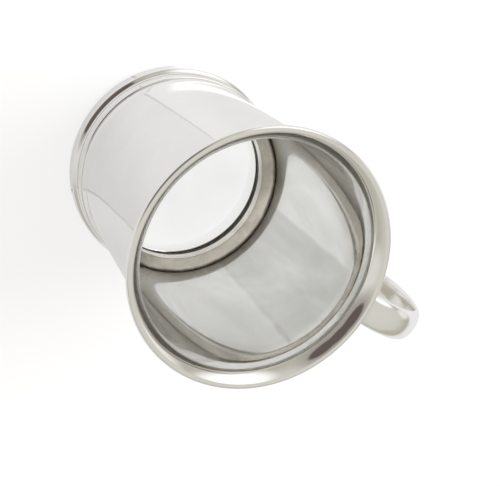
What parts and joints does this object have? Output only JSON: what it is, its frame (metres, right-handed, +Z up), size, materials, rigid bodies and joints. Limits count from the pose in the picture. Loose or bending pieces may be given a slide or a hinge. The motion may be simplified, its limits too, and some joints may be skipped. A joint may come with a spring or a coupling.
{
  "type": "tankard",
  "caption": "Lidless silver tankard with a glass bottom, a flared beaded rim, a stepped foot and a plain strap handle",
  "frame": {"origin": "on the table under the middle of the whole tankard, handle included", "axes": "+X from the barrel towards the handle, +Y across the handle, +Z up out of the mouth"},
  "size_m": [0.1526, 0.1, 0.115],
  "materials": {
    "silver": "polished silver with fine wear",
    "glass": "clear",
    "seal": "matte dark"
  },
  "bodies": {
    "root": {"barrel": "silver", "rim_bead": "silver", "foot_ring": "silver", "base_collar": "silver", "glass_seat": "silver", "glass_seal": "seal", "glass_disc": "glass", "retaining_ring": "silver", "handle": "silver"}
  },
  "joints": []
}
